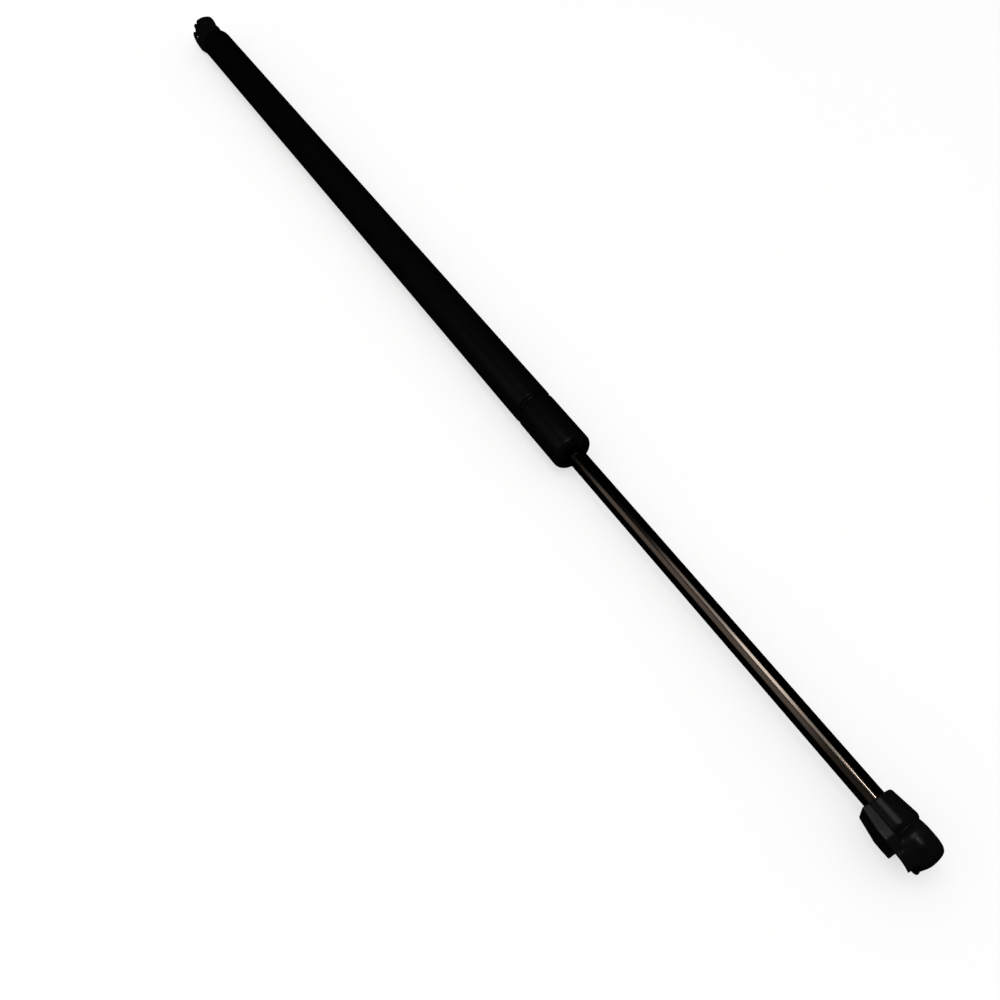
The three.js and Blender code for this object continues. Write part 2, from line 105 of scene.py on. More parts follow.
def turning_tree():
    """A lathe: the points of an outline, x along the axis and z out from it, go once round the X axis."""
    tree = new_tree("turned_about_the_axis", {
        "Outline": "NodeSocketGeometry",
        "Facets": "NodeSocketInt",
        "Finish": "NodeSocketMaterial",
    })
    given = add(tree, "NodeGroupInput").outputs
    size = add(tree, "GeometryNodeAttributeDomainSize", {"Geometry": given["Outline"]})
    rows = size.outputs["Point Count"]
    columns = add(tree, "ShaderNodeMath", {0: given["Facets"], 1: 1.0}, operation="ADD").outputs[0]
    grid = add(tree, "GeometryNodeMeshGrid", {"Vertices X": rows, "Vertices Y": columns})
    index = add(tree, "GeometryNodeInputIndex").outputs[0]
    row = add(tree, "ShaderNodeMath", {0: index, 1: columns}, operation="DIVIDE").outputs[0]
    row = add(tree, "ShaderNodeMath", {0: row}, operation="FLOOR").outputs[0]
    column = add(tree, "ShaderNodeMath", {0: index, 1: columns}, operation="MODULO").outputs[0]
    share = add(tree, "ShaderNodeMath", {0: column, 1: given["Facets"]}, operation="DIVIDE").outputs[0]
    angle = add(tree, "ShaderNodeMath", {0: share, 1: 2 * math.pi}, operation="MULTIPLY").outputs[0]
    sample = add(tree, "GeometryNodeSampleIndex", {
        "Geometry": given["Outline"],
        "Value": add(tree, "GeometryNodeInputPosition").outputs[0],
        "Index": row,
    }, data_type="FLOAT_VECTOR")
    along = add(tree, "ShaderNodeSeparateXYZ", {0: sample.outputs[0]}).outputs
    cosine = add(tree, "ShaderNodeMath", {0: angle}, operation="COSINE").outputs[0]
    sine = add(tree, "ShaderNodeMath", {0: angle}, operation="SINE").outputs[0]
    y = add(tree, "ShaderNodeMath", {0: along["Z"], 1: cosine}, operation="MULTIPLY").outputs[0]
    z = add(tree, "ShaderNodeMath", {0: along["Z"], 1: sine}, operation="MULTIPLY").outputs[0]
    spot = add(tree, "ShaderNodeCombineXYZ", {"X": along["X"], "Y": y, "Z": z}).outputs[0]
    shell = add(tree, "GeometryNodeSetPosition", {"Geometry": grid.outputs["Mesh"], "Position": spot})
    welded = add(tree, "GeometryNodeMergeByDistance", {"Geometry": shell.outputs[0], "Distance": 0.004 * MM})
    real = add(tree, "GeometryNodeRealizeInstances", {0: welded.outputs[0]})
    coated = add(tree, "GeometryNodeSetMaterial", {"Geometry": real.outputs[0], "Material": given["Finish"]})
    add(tree, "NodeGroupOutput", {0: coated.outputs[0]})
    return tree


def made_by(tree, name, start_mesh, values):
    """Runs a Geometry Nodes tree on a mesh with the given input values and returns the plain mesh."""
    blank = bpy.data.objects.new(name + "_blank", start_mesh)
    bpy.context.scene.collection.objects.link(blank)
    modifier = blank.modifiers.new(tree.name, "NODES")
    modifier.node_group = tree
    for socket in tree.interface.items_tree:
        if socket.name in values:
            modifier[socket.identifier] = values[socket.name]
    bpy.context.view_layer.update()
    shaped = blank.evaluated_get(bpy.context.evaluated_depsgraph_get())
    mesh = bpy.data.meshes.new_from_object(shaped)
    bpy.data.objects.remove(blank)
    bpy.data.meshes.remove(start_mesh)
    return mesh


def close_up(mesh, sharp=32):
    """Welds a mesh, turns its faces outwards and keeps only the real corners sharp."""
    shape = bmesh.new()
    shape.from_mesh(mesh)
    bmesh.ops.remove_doubles(shape, verts=shape.verts, dist=0.002 * MM)
    bmesh.ops.dissolve_degenerate(shape, edges=shape.edges, dist=0.001 * MM)
    bmesh.ops.recalc_face_normals(shape, faces=shape.faces)
    for face in shape.faces:
        face.smooth = True
    for edge in shape.edges:
        edge.smooth = len(edge.link_faces) == 2 and edge.calc_face_angle() < math.radians(sharp)
    shape.to_mesh(mesh)
    shape.free()
    return mesh


def fit(name, mesh, body, slot, *nodes):
    """Puts a finished mesh in the scene as the piece that stands for these CAD nodes."""
    piece = bpy.data.objects.new(name, mesh)
    bpy.context.scene.collection.objects.link(piece)
    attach(piece, body)
    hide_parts(*nodes)
    return piece


turning = turning_tree()


def turned(name, outline, finish, facets=96):
    """A turned mesh from an outline of (x, radius) points in mm. A ring's outline ends where it began."""
    mesh = bpy.data.meshes.new(name + "_outline")
    mesh.from_pydata([(x * MM, 0, radius * MM) for x, radius in outline], [], [])
    mesh = made_by(turning, name, mesh, {"Facets": facets, "Finish": finish})
    mesh.name = name
    return close_up(mesh)


def linear(code):
    """A colour as the shader wants it, from its sRGB hex code."""
    parts = [int(code[i:i + 2], 16) / 255 for i in (1, 3, 5)]
    bent = [c / 12.92 if c <= 0.04045 else ((c + 0.055) / 1.055) ** 2.4 for c in parts]
    return (*bent, 1.0)


def new_material(name):
    """A named material with an empty node tree."""
    material = bpy.data.materials.new(name)
    material.use_nodes = True
    material.node_tree.nodes.clear()
    return material, material.node_tree


def speckle(tree, size, stretch=(1, 1, 1), detail=2.0):
    """Noise whose blotches are about this many millimetres across, drawn out by stretch along X, Y and Z."""
    spot = add(tree, "ShaderNodeTexCoord").outputs["Object"]
    scale = [1 / (size * MM * way) for way in stretch]
    spot = add(tree, "ShaderNodeMapping", {"Vector": spot, "Scale": scale}).outputs[0]
    return add(tree, "ShaderNodeTexNoise", {"Vector": spot, "Scale": 1.0, "Detail": detail}).outputs["Fac"]


def black_stoving_paint():
    """Alkyd enamel stoved on steel: deep black, a slight orange peel 1.4 mm across, and settled dust."""
    material, tree = new_material("black_stoving_enamel")
    motes = speckle(tree, 0.35, detail=3.0)
    dust = add(tree, "ShaderNodeMapRange", {"Value": motes, "From Min": 0.64, "From Max": 0.8}).outputs[0]
    shades = {0: dust, 6: linear("#040405"), 7: linear("#101011")}
    colour = add(tree, "ShaderNodeMix", shades, data_type="RGBA").outputs[2]
    # Handling marks run round the tube in bands about 3 mm wide.
    band = speckle(tree, 3, (1, 25, 25))
    gloss = add(tree, "ShaderNodeMapRange", {"Value": band, "From Min": 0.3, "From Max": 0.7,
                                             "To Min": 0.24, "To Max": 0.34}).outputs[0]
    peel = speckle(tree, 1.4)
    bump = add(tree, "ShaderNodeBump", {"Height": peel, "Strength": 0.3, "Distance": 0.02 * MM}).outputs[0]
    surface = add(tree, "ShaderNodeBsdfPrincipled", {
        "Base Color": colour, "Roughness": gloss, "Normal": bump, "Specular IOR Level": 0.12,
    })
    add(tree, "ShaderNodeOutputMaterial", {"Surface": surface.outputs[0]})
    return material


tube_start, tube_end, tube_radius = place("cylinder_tube")
tube_wall = 1.25
rest_gap = 0.3
groove_from_rim = 31.0
groove_half_width = 1.9
groove_depth = 1.0
rim_round = 2.6
rim_hole = 5.9
shoulder_round = 3.6
shoulder_hole = 5.2


def rolled_groove(wall_radius, steps=28):
    """The groove's outline: a smooth dip of the wall, the same outside and inside."""
    points = []
    for i in range(steps + 1):
        along = -1 + 2 * i / steps
        dip = groove_depth * (1 + math.cos(math.pi * along)) / 2
        points.append((tube_end - groove_from_rim + along * groove_half_width, wall_radius - dip))
    return points


def tube_side(radius, wall):
    """One side of the wall, from the shoulder's hole to the rim's hole."""
    shoulder_x = tube_start + shoulder_round
    rim_x = tube_end - rim_round
    return [
        (tube_start + wall, shoulder_hole),
        *arc(shoulder_x, tube_radius - shoulder_round, shoulder_round - wall, 180, 90, 14),
        *rolled_groove(radius),
        *arc(rim_x, tube_radius - rim_round, rim_round - wall, 90, 0, 14),
        (tube_end - wall, rim_hole),
    ]


tube_outline = tube_side(tube_radius, 0) + tube_side(tube_radius - tube_wall, tube_wall)[::-1]
tube_mesh = turned("pressure_tube", tube_outline + tube_outline[:1], black_stoving_paint(), 144)
fit("pressure_tube", tube_mesh, "cylinder", "black_tube_paint", "cylinder_tube")

# ---------------------------------------------------------------------------------------------------------
# End plug, O-ring and mounting stud
# A turned plug pressed against the tube's shoulder, sealed by a nitrile O-ring. An M8 stud screwed through it
# carries the cylinder-side socket. Plug and stud are zinc plated.


def clear_zinc_plate():
    """Bright zinc with a clear passivate: pale blue-grey, faintly straw-coloured, over turning marks."""
    material, tree = new_material("clear_zinc_plate")
    clouds = speckle(tree, 4, detail=3.0)
    shades = {0: clouds, 6: linear("#aab1ba"), 7: linear("#c6c3b2")}
    colour = add(tree, "ShaderNodeMix", shades, data_type="RGBA").outputs[2]
    stains = speckle(tree, 1.5)
    gloss = add(tree, "ShaderNodeMapRange", {"Value": stains, "From Min": 0.3, "From Max": 0.7,
                                             "To Min": 0.26, "To Max": 0.42}).outputs[0]
    # Real turning marks are about 0.08 mm apart; 0.2 mm is as fine as they can show.
    marks = speckle(tree, 0.2, (1, 30, 30))
    bump = add(tree, "ShaderNodeBump", {"Height": marks, "Strength": 0.25, "Distance": 0.01 * MM}).outputs[0]
    surface = add(tree, "ShaderNodeBsdfPrincipled", {
        "Base Color": colour, "Roughness": gloss, "Normal": bump, "Metallic": 1.0,
    })
    add(tree, "ShaderNodeOutputMaterial", {"Surface": surface.outputs[0]})
    return material


def nitrile_rubber():
    """Moulded nitrile rubber: matt black with a faint grey bloom and a fine mould texture."""
    material, tree = new_material("nitrile_rubber")
    bloom = speckle(tree, 1.8, detail=4.0)
    shades = {0: bloom, 6: linear("#101010"), 7: linear("#242322")}
    colour = add(tree, "ShaderNodeMix", shades, data_type="RGBA").outputs[2]
    gloss = add(tree, "ShaderNodeMapRange", {"Value": bloom, "From Min": 0.3, "From Max": 0.7,
                                             "To Min": 0.55, "To Max": 0.78}).outputs[0]
    texture = speckle(tree, 0.18)
    bump = add(tree, "ShaderNodeBump", {"Height": texture, "Strength": 0.4, "Distance": 0.02 * MM}).outputs[0]
    surface = add(tree, "ShaderNodeBsdfPrincipled", {
        "Base Color": colour, "Roughness": gloss, "Normal": bump,
    })
    add(tree, "ShaderNodeOutputMaterial", {"Surface": surface.outputs[0]})
    return material


def eased(corners, ease, steps=3):
    """A ring's outline from its corners in order, each corner rounded off; it ends where it began."""
    points = []
    for i, corner in enumerate(corners):
        here = Vector(corner)
        before = Vector(corners[i - 1]) - here
        after = Vector(corners[(i + 1) % len(corners)]) - here
        cut = min(ease, 0.4 * before.length, 0.4 * after.length)
        start = here + before.normalized() * cut
        end = here + after.normalized() * cut
        for step in range(steps + 1):
            t = step / steps
            points.append(tuple(start * (1 - t) ** 2 + here * 2 * t * (1 - t) + end * t * t))
    return points + points[:1]


def threaded(name, start, end, radius, finish, pitch=1.25, depth=0.7, columns=48, rows_per_turn=10):
    """A screw thread along X with chamfered ends, its crest running round as a helix."""
    rows = int((end - start) / pitch * rows_per_turn)
    chamfer = 0.8
    mesh_points = []
    for row in range(rows + 1):
        x = start + (end - start) * row / rows
        limit = radius - max(0, chamfer - (x - start), chamfer - (end - x))
        for column in range(columns):
            share = column / columns
            phase = ((x - start) / pitch - share) % 1
            crest = radius - depth * abs(2 * phase - 1)
            size = min(crest, limit) * MM
            turn = 2 * math.pi * share
            mesh_points.append((x * MM, size * math.cos(turn), size * math.sin(turn)))
    faces = []
    for row in range(rows):
        for column in range(columns):
            beside = (column + 1) % columns
            below = row * columns
            above = below + columns
            faces.append((below + column, below + beside, above + beside, above + column))
    last = rows * columns
    faces.append(tuple(range(columns)))
    faces.append(tuple(range(last, last + columns)))
    mesh = bpy.data.meshes.new(name)
    mesh.from_pydata(mesh_points, [], faces)
    mesh.materials.append(finish)
    return close_up(mesh, 50)


zinc = clear_zinc_plate()
rubber = nitrile_rubber()
plug_start, plug_end, plug_radius = place("end_plug")
plug_face = tube_start + tube_wall + rest_gap
plug_boss = 5.0
plug_bore = 4.1
plug_chamfer = 2.0
ring_start, ring_end, ring_outer = place("end_plug_o_ring")
ring_centre = (ring_start + ring_end) / 2
ring_wire = (ring_end - ring_start) / 2
ring_slot = 1.1
slot_depth = 1.6
slot_floor = plug_radius - slot_depth
plug_outline = eased([
    (plug_start, plug_bore),
    (plug_start, plug_boss),
    (plug_face, plug_boss),
    (plug_face, plug_radius - plug_chamfer),
    (plug_face + plug_chamfer, plug_radius),
    (ring_centre - ring_slot, plug_radius),
    (ring_centre - ring_slot, slot_floor),
    (ring_centre + ring_slot, slot_floor),
    (ring_centre + ring_slot, plug_radius),
    (plug_end, plug_radius),
    (plug_end, plug_bore),
], 0.3)
fit("turned_end_plug", turned("end_plug", plug_outline, zinc), "cylinder", "zinc_plated_steel", "end_plug")

ring_outline = arc(ring_centre, ring_outer - ring_wire, ring_wire, 180, -180, 24)
ring_mesh = turned("plug_ring", ring_outline, rubber)
fit("nitrile_o_ring", ring_mesh, "cylinder", "black_rubber", "end_plug_o_ring")

stud_start, stud_end, stud_radius = place("mounting_stud")
stud_mesh = threaded("stud", stud_start, stud_end, stud_radius, zinc)
fit("threaded_stud", stud_mesh, "cylinder", "zinc_plated_steel", "mounting_stud")

# ---------------------------------------------------------------------------------------------------------
# Seal pack
# From the piston's side outwards: a moulded nylon spacer against the groove, a zinc-plated washer, the rubber
# rod seal, the bronze guide, and the steel closing ring with its rubber wiper under the rolled rim.


def natural_nylon():
    """Unfilled nylon as moulded: warm off-white, slightly translucent, with faint flow clouds."""
    material, tree = new_material("natural_nylon")
    flow = speckle(tree, 5, detail=3.0)
    shades = {0: flow, 6: linear("#d2ccba"), 7: linear("#e4dfd1")}
    colour = add(tree, "ShaderNodeMix", shades, data_type="RGBA").outputs[2]
    gloss = add(tree, "ShaderNodeMapRange", {"Value": flow, "From Min": 0.3, "From Max": 0.7,
                                             "To Min": 0.38, "To Max": 0.52}).outputs[0]
    skin = speckle(tree, 0.3)
    bump = add(tree, "ShaderNodeBump", {"Height": skin, "Strength": 0.25, "Distance": 0.02 * MM}).outputs[0]
    surface = add(tree, "ShaderNodeBsdfPrincipled", {
        "Base Color": colour, "Roughness": gloss, "Normal": bump,
        "Subsurface Weight": 0.25, "Subsurface Scale": 0.8 * MM,
    })
    add(tree, "ShaderNodeOutputMaterial", {"Surface": surface.outputs[0]})
    return material


def bearing_bronze():
    """Turned tin bronze: brown-gold, darker where it has tarnished, with the tool's feed marks round it."""
    material, tree = new_material("bearing_bronze")
    tarnish = speckle(tree, 3, detail=4.0)
    shades = {0: tarnish, 6: linear("#7d5a33"), 7: linear("#b5854a")}
    colour = add(tree, "ShaderNodeMix", shades, data_type="RGBA").outputs[2]
    gloss = add(tree, "ShaderNodeMapRange", {"Value": tarnish, "From Min": 0.3, "From Max": 0.7,
                                             "To Min": 0.42, "To Max": 0.25}).outputs[0]
    # Real feed marks are about 0.1 mm apart; 0.2 mm is as fine as they can show.
    marks = speckle(tree, 0.2, (1, 30, 30))
    bump = add(tree, "ShaderNodeBump", {"Height": marks, "Strength": 0.35, "Distance": 0.015 * MM}).outputs[0]
    surface = add(tree, "ShaderNodeBsdfPrincipled", {
        "Base Color": colour, "Roughness": gloss, "Normal": bump, "Metallic": 1.0,
    })
    add(tree, "ShaderNodeOutputMaterial", {"Surface": surface.outputs[0]})
    return material


def oiled_mild_steel():
    """Bright mild steel kept under an oil film: neutral grey, warmer and duller where the film has dried."""
    material, tree = new_material("oiled_mild_steel")
    film = speckle(tree, 2.5, detail=3.0)
    shades = {0: film, 6: linear("#6f6a62"), 7: linear("#8f9296")}
    colour = add(tree, "ShaderNodeMix", shades, data_type="RGBA").outputs[2]
    gloss = add(tree, "ShaderNodeMapRange", {"Value": film, "From Min": 0.3, "From Max": 0.7,
                                             "To Min": 0.48, "To Max": 0.32}).outputs[0]
    marks = speckle(tree, 0.25, (1, 30, 30))
    bump = add(tree, "ShaderNodeBump", {"Height": marks, "Strength": 0.3, "Distance": 0.015 * MM}).outputs[0]
    surface = add(tree, "ShaderNodeBsdfPrincipled", {
        "Base Color": colour, "Roughness": gloss, "Normal": bump, "Metallic": 1.0,
    })
    add(tree, "ShaderNodeOutputMaterial", {"Surface": surface.outputs[0]})
    return material


nylon_white = natural_nylon()
rod_radius = place("piston_rod")[2]
running_clearance = 0.06
running_bore = rod_radius + running_clearance

sleeve_back, sleeve_front, sleeve_radius = place("spacer_sleeve")
sleeve_wall = 1.6
sleeve_flange = 1.2
sleeve_hole = rod_radius + 0.6
sleeve_outline = eased([
    (sleeve_back, sleeve_radius - sleeve_wall),
    (sleeve_back, sleeve_radius),
    (sleeve_front, sleeve_radius),
    (sleeve_front, sleeve_hole),
    (sleeve_front - sleeve_flange, sleeve_hole),
    (sleeve_front - sleeve_flange, sleeve_radius - sleeve_wall),
], 0.25)
sleeve_mesh = turned("sleeve", sleeve_outline, nylon_white)
fit("moulded_spacer_sleeve", sleeve_mesh, "cylinder", "natural_nylon", "spacer_sleeve")


def plain_ring(name, node, hole, finish, ease):
    """A flat ring in the place of a CAD piece, its edges rounded off."""
    back, front, outer = place(node)
    return turned(name, eased([(back, hole), (back, outer), (front, outer), (front, hole)], ease), finish)


washer_ease = 0.2
washer_mesh = plain_ring("seal_washer", "seal_washer", rod_radius + rest_gap, zinc, washer_ease)
fit("stamped_seal_washer", washer_mesh, "cylinder", "zinc_plated_steel", "seal_washer")

seal_tip, seal_front, seal_radius = place("rod_seal")
seal_lip = 1.1
seal_flare = 0.3
seal_heel = seal_front - 2.4
seal_outline = eased([
    (seal_tip, running_bore),
    (seal_tip, running_bore + seal_lip),
    (seal_heel, running_bore + seal_lip + seal_flare),
    (seal_heel, seal_radius - seal_lip - seal_flare),
    (seal_tip, seal_radius - seal_lip),
    (seal_tip, seal_radius),
    (seal_front, seal_radius),
    (seal_front, running_bore),
], 0.3)
fit("moulded_rod_seal", turned("seal", seal_outline, rubber), "cylinder", "black_rubber", "rod_seal")

guide_mesh = plain_ring("guide", "rod_guide", running_bore, bearing_bronze(), 0.5)
fit("turned_rod_guide", guide_mesh, "cylinder", "bronze", "rod_guide")

ring_back, ring_front, ring_radius = place("closing_ring")
ring_hole = 4.5
ring_chamfer = 1.7
wiper_seat = 6.2
wiper_back, wiper_lip, wiper_radius = place("rod_wiper")
wiper_step = tube_end - 3.0
wiper_clearance = 0.15
wiper_space = 0.2
closing_outline = eased([
    (ring_back, wiper_seat),
    (ring_back, ring_radius),
    (ring_front - ring_chamfer, ring_radius),
    (ring_front, ring_radius - ring_chamfer),
    (ring_front, ring_hole),
    (wiper_step + wiper_space, ring_hole),
    (wiper_step + wiper_space, wiper_seat),
], 0.15)
closing_mesh = turned("closing_ring", closing_outline, oiled_mild_steel())
fit("turned_closing_ring", closing_mesh, "cylinder", "plain_steel", "closing_ring")

wiper_outline = eased([
    (wiper_back, running_bore),
    (wiper_back, wiper_radius),
    (wiper_step, wiper_radius),
    (wiper_step, ring_hole - wiper_clearance),
    (wiper_lip, ring_hole - wiper_clearance),
    (wiper_lip, running_bore),
], 0.12)
fit("moulded_rod_wiper", turned("wiper", wiper_outline, rubber), "cylinder", "black_rubber", "rod_wiper")

# ---------------------------------------------------------------------------------------------------------
# Piston rod
# Ground and polished steel bar, nitrided and oxidised dark after polishing. One end is turned down to a
# spigot for the piston, the other is threaded into the rod-side socket.


def black_nitrided_steel():
    """Nitrided, polished and oxidised steel: a dark warm mirror with faint polishing lines round the rod."""
    material, tree = new_material("black_nitrided_steel")
    heat = speckle(tree, 30, (2, 1, 1))
    shades = {0: heat, 6: linear("#6a625c"), 7: linear("#787069")}
    colour = add(tree, "ShaderNodeMix", shades, data_type="RGBA").outputs[2]
    haze = speckle(tree, 9, (3, 1, 1))
    gloss = add(tree, "ShaderNodeMapRange", {"Value": haze, "From Min": 0.3, "From Max": 0.7,
                                             "To Min": 0.1, "To Max": 0.16}).outputs[0]
    # Real polishing lines are a few microns apart; 0.12 mm is as fine as they can show.
    lines = speckle(tree, 0.12, (1, 30, 30), detail=3.0)
    bump = add(tree, "ShaderNodeBump", {"Height": lines, "Strength": 0.12, "Distance": 0.002 * MM}).outputs[0]
    surface = add(tree, "ShaderNodeBsdfPrincipled", {
        "Base Color": colour, "Roughness": gloss, "Normal": bump, "Metallic": 1.0,
    })
    add(tree, "ShaderNodeOutputMaterial", {"Surface": surface.outputs[0]})
    return material


spigot_end, rod_tip = place("piston_rod")[:2]
rod_shoulder = place("piston_front_washer")[1] + rest_gap
spigot_radius = 2.7
rod_chamfer = 0.5
shoulder_ease = 0.2
spigot_fillet = 0.05
rod_outline = [
    (spigot_end, 0),
    (spigot_end, spigot_radius - rod_chamfer),
    (spigot_end + rod_chamfer, spigot_radius),
    (rod_shoulder - spigot_fillet, spigot_radius),
    (rod_shoulder, spigot_radius + spigot_fillet),
    *arc(rod_shoulder + shoulder_ease, rod_radius - shoulder_ease, shoulder_ease, 180, 90, 5),
    (rod_tip - rod_chamfer, rod_radius),
    (rod_tip, rod_radius - rod_chamfer),
    (rod_tip, 0),
]
rod_mesh = turned("polished_rod", rod_outline, black_nitrided_steel())
fit("polished_rod", rod_mesh, "rod", "black_nitrided_steel", "piston_rod")

# ---------------------------------------------------------------------------------------------------------
# Piston and its stack
# Between the rod's shoulder and the nut on its spigot: a plated washer, a spring-steel valve disc, a pressed
# and sintered piston with three bleed holes and a nylon ring in its groove, another washer, and the nut.


def spring_steel():
    """Hard-drawn spring steel: dull grey with brownish temper clouds and fine drawing lines."""
    material, tree = new_material("spring_steel")
    temper = speckle(tree, 2.5, detail=3.0)
    shades = {0: temper, 6: linear("#6a655e"), 7: linear("#8b8984")}
    colour = add(tree, "ShaderNodeMix", shades, data_type="RGBA").outputs[2]
    gloss = add(tree, "ShaderNodeMapRange", {"Value": temper, "From Min": 0.3, "From Max": 0.7,
                                             "To Min": 0.38, "To Max": 0.24}).outputs[0]
    # Drawing lines are finer than can show; 0.15 mm is as fine as they can be drawn.
    lines = speckle(tree, 0.15, (20, 1, 1))
    bump = add(tree, "ShaderNodeBump", {"Height": lines, "Strength": 0.2, "Distance": 0.01 * MM}).outputs[0]
    surface = add(tree, "ShaderNodeBsdfPrincipled", {
        "Base Color": colour, "Roughness": gloss, "Normal": bump, "Metallic": 1.0,
    })
    add(tree, "ShaderNodeOutputMaterial", {"Surface": surface.outputs[0]})
    return material


def sintered_steel():
    """Pressed and sintered steel, steam treated: blue-grey, matt, and open with dark pores."""
    material, tree = new_material("sintered_steel")
    # Real pores are about 0.03 mm; 0.15 mm is as fine as they can show.
    grain = speckle(tree, 0.15)
    pores = add(tree, "ShaderNodeMapRange", {"Value": grain, "From Min": 0.36, "From Max": 0.46}).outputs[0]
    shades = {0: pores, 6: linear("#1c1c1e"), 7: linear("#5b5d60")}
    colour = add(tree, "ShaderNodeMix", shades, data_type="RGBA").outputs[2]
    steam = speckle(tree, 2)
    gloss = add(tree, "ShaderNodeMapRange", {"Value": steam, "From Min": 0.3, "From Max": 0.7,
                                             "To Min": 0.5, "To Max": 0.65}).outputs[0]
    bump = add(tree, "ShaderNodeBump", {"Height": pores, "Strength": 0.5, "Distance": 0.03 * MM}).outputs[0]
    surface = add(tree, "ShaderNodeBsdfPrincipled", {
        "Base Color": colour, "Roughness": gloss, "Normal": bump, "Metallic": 1.0,
    })
    add(tree, "ShaderNodeOutputMaterial", {"Surface": surface.outputs[0]})
    return material


def carved(name, mesh, others, operation, finish):
    """Joins other meshes to a mesh, cuts them out of it, or keeps what they share with it."""
    body = bpy.data.objects.new(name, mesh)
    bpy.context.scene.collection.objects.link(body)
    tools = []
    for other in others:
        tool = bpy.data.objects.new(name + "_tool", other)
        bpy.context.scene.collection.objects.link(tool)
        tools.append(tool)
        step = body.modifiers.new(operation, "BOOLEAN")
        step.operation = operation
        step.solver = "EXACT"
        step.object = tool
    bpy.context.view_layer.update()
    result = bpy.data.meshes.new_from_object(body.evaluated_get(bpy.context.evaluated_depsgraph_get()))
    for done in (body, *tools):
        bpy.data.objects.remove(done)
    result.materials.clear()
    result.materials.append(finish)
    for face in result.polygons:
        face.material_index = 0
    return result


def drum(name, start, end, radius, sides, centre=(0, 0)):
    """A round or many-sided bar along X, its axis at centre across X."""
    shape = bmesh.new()
    across = Matrix.Rotation(math.pi / 2, 4, "Y")
    spot = Matrix.Translation(Vector(((start + end) / 2, *centre)) * MM)
    bmesh.ops.create_cone(shape, cap_ends=True, segments=sides, radius1=radius * MM, radius2=radius * MM,
                          depth=(end - start) * MM, matrix=spot @ across)
    mesh = bpy.data.meshes.new(name)
    shape.to_mesh(mesh)
    shape.free()
    return mesh


spring = spring_steel()
stack_bore = spigot_radius + 0.1
front_washer_mesh = plain_ring("front_washer", "piston_front_washer", stack_bore, zinc, washer_ease)
fit("stamped_front_washer", front_washer_mesh, "rod", "zinc_plated_steel", "piston_front_washer")
valve_mesh = plain_ring("valve_disc", "piston_valve_disc", stack_bore, spring, 0.05)
fit("blanked_valve_disc", valve_mesh, "rod", "spring_steel", "piston_valve_disc")
rear_washer_mesh = plain_ring("rear_washer", "piston_rear_washer", stack_bore, zinc, washer_ease)
fit("stamped_rear_washer", rear_washer_mesh, "rod", "zinc_plated_steel", "piston_rear_washer")

piston_back, piston_front, piston_radius = place("piston")
band_back, band_front = place("piston_ring")[:2]
band_hole = 6.3
band_side_gap = 0.2
band_floor = band_hole - 0.1
bleed_count = 3
bleed_circle = 4.6
bleed_radius = 0.4
overrun = 1
sinter = sintered_steel()
piston_outline = eased([
    (piston_back, stack_bore),
    (piston_back, piston_radius),
    (band_back - band_side_gap, piston_radius),
    (band_back - band_side_gap, band_floor),
    (band_front + band_side_gap, band_floor),
    (band_front + band_side_gap, piston_radius),
    (piston_front, piston_radius),
    (piston_front, stack_bore),
], 0.25)
bleeds = []
for i in range(bleed_count):
    turn = 2 * math.pi * i / bleed_count
    centre = (bleed_circle * math.cos(turn), bleed_circle * math.sin(turn))
    bleed = drum("bleed_hole", piston_back - overrun, piston_front + overrun, bleed_radius, 24, centre)
    bleeds.append(bleed)
piston_mesh = carved("piston", turned("piston", piston_outline, sinter), bleeds, "DIFFERENCE", sinter)
fit("sintered_piston", close_up(piston_mesh), "rod", "sintered_steel", "piston")
band_mesh = plain_ring("piston_band", "piston_ring", band_hole, nylon_white, 0.15)
fit("moulded_piston_ring", band_mesh, "piston_ring", "natural_nylon", "piston_ring")

nut_back, nut_front, nut_corner = place("piston_nut")
nut_flat = nut_corner * math.cos(math.pi / 6)
nut_drop = (nut_corner - nut_flat) * math.tan(math.radians(30))
nut_reach = nut_corner + 0.01
nut_mouth = 0.3
nut_round = turned("nut_round", [
    (nut_back, stack_bore + nut_mouth),
    (nut_back, nut_flat),
    (nut_back + nut_drop, nut_reach),
    (nut_front - nut_drop, nut_reach),
    (nut_front, nut_flat),
    (nut_front, stack_bore + nut_mouth),
    (nut_front - nut_mouth, stack_bore),
    (nut_back + nut_mouth, stack_bore),
    (nut_back, stack_bore + nut_mouth),
], zinc)
nut_bar = drum("nut_bar", nut_back - overrun, nut_front + overrun, nut_corner, 6)
nut_bar.transform(Matrix.Rotation(math.pi / 6, 4, "X"))
nut_mesh = carved("nut", nut_round, [nut_bar], "INTERSECT", zinc)
fit("hexagon_nut", close_up(nut_mesh, 20), "rod", "zinc_plated_steel", "piston_nut")

# ---------------------------------------------------------------------------------------------------------
# Ball sockets
# Injection-moulded glass-filled nylon, the same moulding at both ends: a barrel-shaped head with the seat for
# a 10 mm ball, a round neck boss with the threaded hole, and a flat sole that is also the lip of the mouth.


